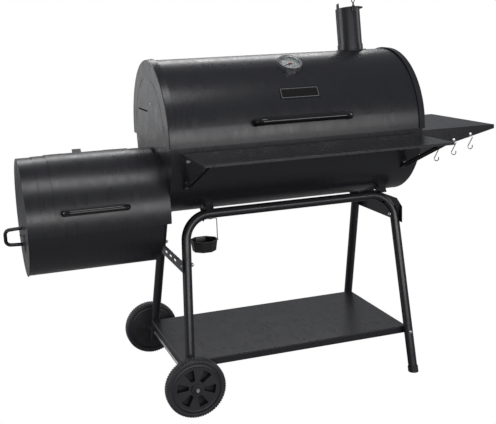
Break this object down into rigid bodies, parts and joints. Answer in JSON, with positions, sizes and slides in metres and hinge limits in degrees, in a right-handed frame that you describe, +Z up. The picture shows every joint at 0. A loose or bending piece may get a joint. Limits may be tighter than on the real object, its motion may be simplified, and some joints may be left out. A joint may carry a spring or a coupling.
{
  "type": "offset smoker grill",
  "caption": "Barrel charcoal smoker with an offset firebox, hinged lid, chimney, front shelf, side table, lower shelf and a wheeled tube stand.",
  "frame": {"origin": "on the floor under the middle of the bounding box", "axes": "+X along the barrel from the firebox to the side table, -Y towards the cook, +Z up"},
  "size_m": [1.749, 0.859, 1.3318],
  "materials": {
    "powder": "semi-gloss black heat-proof powder coat",
    "gloss_black": "glossy black baked enamel",
    "plastic": "moulded black plastic, fine ribbed tread",
    "rubber": "black rubber",
    "zinc": "zinc-plated steel",
    "chrome": "bright chrome plate",
    "iron": "black enamelled grate",
    "pan_steel": "heat-dulled black sheet",
    "cup_steel": "black painted thin metal",
    "brass": "plain brass",
    "badge": "bare black plate with a bright edge",
    "dial": "silver-grey enamel dial",
    "needle_red": "red paint",
    "glass": "clear glass"
  },
  "bodies": {
    "stand": {"frame_leg_left_front": "powder", "frame_leg_left_rear": "powder", "frame_leg_right_front": "powder", "frame_leg_right_rear": "powder", "foot_caps": "rubber", "barrel_saddles": "powder", "m6_bolts": "zinc", "m4_bolts": "zinc", "cross_brace_left": "powder", "cross_panel_right": "powder", "lower_shelf": "powder", "axle": "zinc", "axle_hardware": "zinc", "barrel_trough": "powder", "barrel_end_left": "powder", "barrel_end_right": "powder", "grease_spout": "powder", "inner_supports": "powder", "cooking_grates": "iron", "charcoal_pan": "pan_steel", "front_shelf": "powder", "shelf_brackets": "powder", "side_table": "powder", "firebox_shell": "powder", "firebox_cap_left": "powder", "firebox_end_right": "powder", "door_stop": "powder", "hinge_leaves": "powder", "hinge_pins": "zinc"},
    "lid": {"lid_sheet": "powder", "lid_cap_left": "powder", "lid_cap_right": "powder", "lid_handle": "gloss_black", "lid_screws": "zinc", "lid_badge": "badge", "lid_hinge_tongues": "powder", "gauge_case": "chrome", "gauge_dial": "dial", "gauge_glass": "glass", "gauge_stem": "brass", "chimney": "powder", "chimney_collar": "powder"},
    "needle": {"gauge_needle": "needle_red"},
    "damper": {"damper_plate": "powder"},
    "rack": {"warming_rack": "chrome"},
    "links": {"rack_links": "zinc"},
    "door": {"firebox_door": "powder", "door_handle": "gloss_black"},
    "drawer": {"ash_drawer": "powder", "drawer_front": "powder", "drawer_handle": "gloss_black", "fire_grate": "iron"},
    "shutter": {"vent_shutter": "powder"},
    "front_wheel": {"wheel_front": "plastic"},
    "rear_wheel": {"wheel_rear": "plastic"},
    "s_hook_1": {"hook_1": "chrome"},
    "s_hook_2": {"hook_2": "chrome"},
    "s_hook_3": {"hook_3": "chrome"},
    "cup": {"grease_cup": "cup_steel", "cup_bail": "chrome"}
  },
  "joints": [
    {"name": "lid_hinge", "type": "hinge", "parent": "stand", "child": "lid", "pos_m": [0.0935, 0.3515, 0.86], "axis": [-1, 0, 0], "range_deg": [0, 95]},
    {"name": "rack_level", "type": "hinge", "parent": "lid", "child": "rack", "pos_m": [0.0935, 0.0405, 1.01], "axis": [-1, 0, 0], "range_deg": [-95, 0]},
    {"name": "link_swing", "type": "hinge", "parent": "stand", "child": "links", "pos_m": [0.0935, 0.3115, 0.86], "axis": [-1, 0, 0], "range_deg": [0, 95]},
    {"name": "damper_swivel", "type": "hinge", "parent": "lid", "child": "damper", "pos_m": [0.4135, 0.09108, 1.3039], "axis": [0, 0.1461, 0.9893], "range_deg": [-80, 11]},
    {"name": "needle_turn", "type": "hinge", "parent": "lid", "child": "needle", "pos_m": [0.0995, -0.05799, 1.12049], "axis": [0, -0.515, 0.8572], "range_deg": [-230, 0], "stiffness_Nm_per_rad": 0.01},
    {"name": "firebox_door_hinge", "type": "hinge", "parent": "stand", "child": "door", "pos_m": [-0.5845, 0.16593, 0.84633], "axis": [-1, 0, 0], "range_deg": [0, 155]},
    {"name": "ash_drawer_slide", "type": "slide", "parent": "stand", "child": "drawer", "axis": [-1, 0, 0], "range_m": [0, 0.38]},
    {"name": "vent_shutter_turn", "type": "hinge", "parent": "drawer", "child": "shutter", "pos_m": [-0.8145, 0.0355, 0.585], "axis": [1, 0, 0], "range_deg": [0, 45]},
    {"name": "front_wheel_spin", "type": "hinge", "parent": "stand", "child": "front_wheel", "pos_m": [-0.33521, -0.2365, 0.1016], "axis": [0, 1, 0], "continuous": true},
    {"name": "rear_wheel_spin", "type": "hinge", "parent": "stand", "child": "rear_wheel", "pos_m": [-0.33521, 0.3975, 0.1016], "axis": [0, 1, 0], "continuous": true},
    {"name": "cup_swing", "type": "hinge", "parent": "stand", "child": "cup", "pos_m": [-0.1915, 0.0805, 0.5839], "axis": [0, 1, 0], "range_deg": [-15, 15]},
    {"name": "hook_1_swing", "type": "hinge", "parent": "stand", "child": "s_hook_1", "pos_m": [0.6345, -0.1187, 0.80332], "axis": [0, 1, 0], "range_deg": [-25, 25]},
    {"name": "hook_2_swing", "type": "hinge", "parent": "stand", "child": "s_hook_2", "pos_m": [0.7055, -0.1187, 0.81947], "axis": [0, 1, 0], "range_deg": [-25, 25]},
    {"name": "hook_3_swing", "type": "hinge", "parent": "stand", "child": "s_hook_3", "pos_m": [0.7745, -0.1187, 0.83516], "axis": [0, 1, 0], "range_deg": [-25, 25]}
  ],
  "couplings": [
    {"joint": "rack_level", "follows": "lid_hinge", "ratio": -1},
    {"joint": "link_swing", "follows": "lid_hinge", "ratio": 1}
  ]
}
